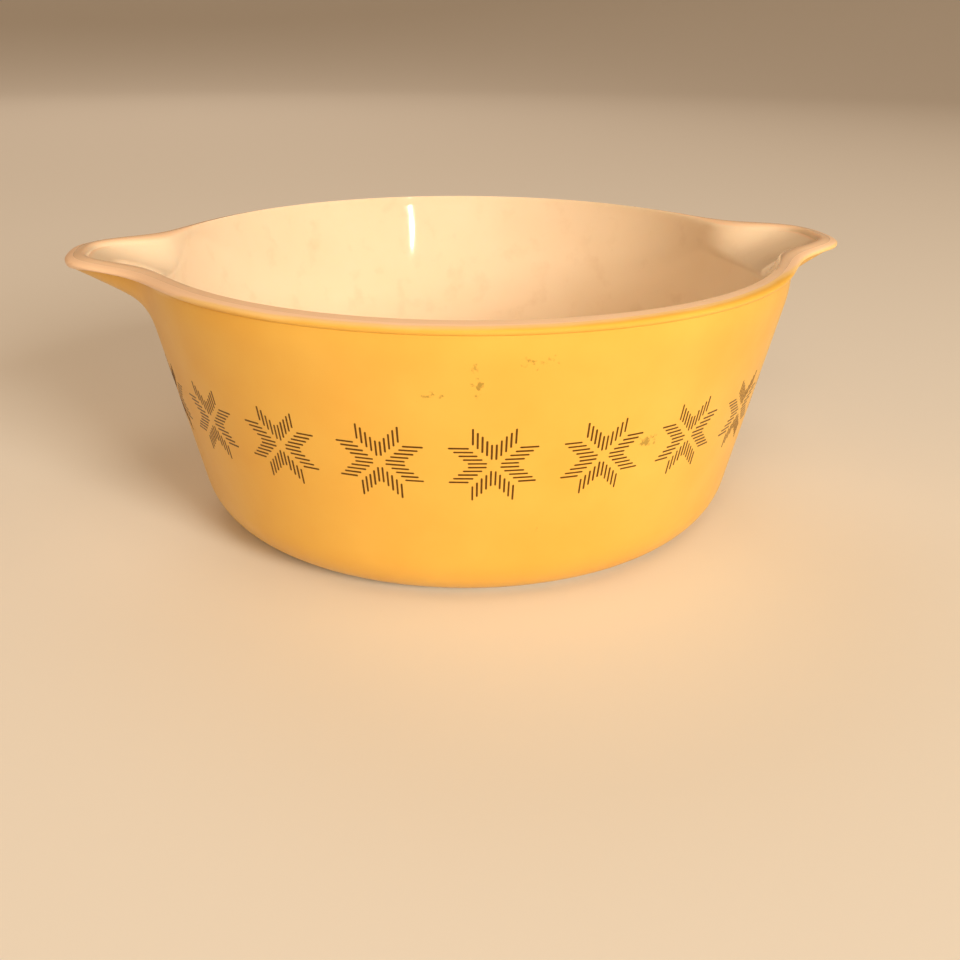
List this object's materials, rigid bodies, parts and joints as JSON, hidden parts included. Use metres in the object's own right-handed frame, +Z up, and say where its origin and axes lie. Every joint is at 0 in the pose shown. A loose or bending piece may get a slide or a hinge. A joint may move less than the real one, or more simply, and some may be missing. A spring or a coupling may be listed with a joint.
{
  "type": "mixing bowl",
  "caption": "Round pressed opal-glass mixing bowl with a rolled rim, two dished pouring handles, an amber enamel outside and a printed band of hatched stars",
  "frame": {"origin": "on the table, under the bowl's axis, at the middle of the foot ring", "axes": "+Z up along the bowl's axis; X along the line through the two handles; Y across it"},
  "size_m": [0.26, 0.216, 0.0915],
  "materials": {
    "opal_glass": "opaque pressed opal glass, fire-polished gloss",
    "amber_enamel": "fired enamel, satin, worn at the foot",
    "gold_ink": "fired printed enamel, dark bronze gold, thin"
  },
  "bodies": {
    "root": {"glass_bowl": "opal_glass", "colour_coat": "amber_enamel", "star_01": "gold_ink", "star_02": "gold_ink", "star_03": "gold_ink", "star_04": "gold_ink", "star_05": "gold_ink", "star_06": "gold_ink", "star_07": "gold_ink", "star_08": "gold_ink", "star_09": "gold_ink", "star_10": "gold_ink", "star_11": "gold_ink", "star_12": "gold_ink", "star_13": "gold_ink", "star_14": "gold_ink", "star_15": "gold_ink", "star_16": "gold_ink", "star_17": "gold_ink", "star_18": "gold_ink", "star_19": "gold_ink", "star_20": "gold_ink"}
  },
  "joints": []
}
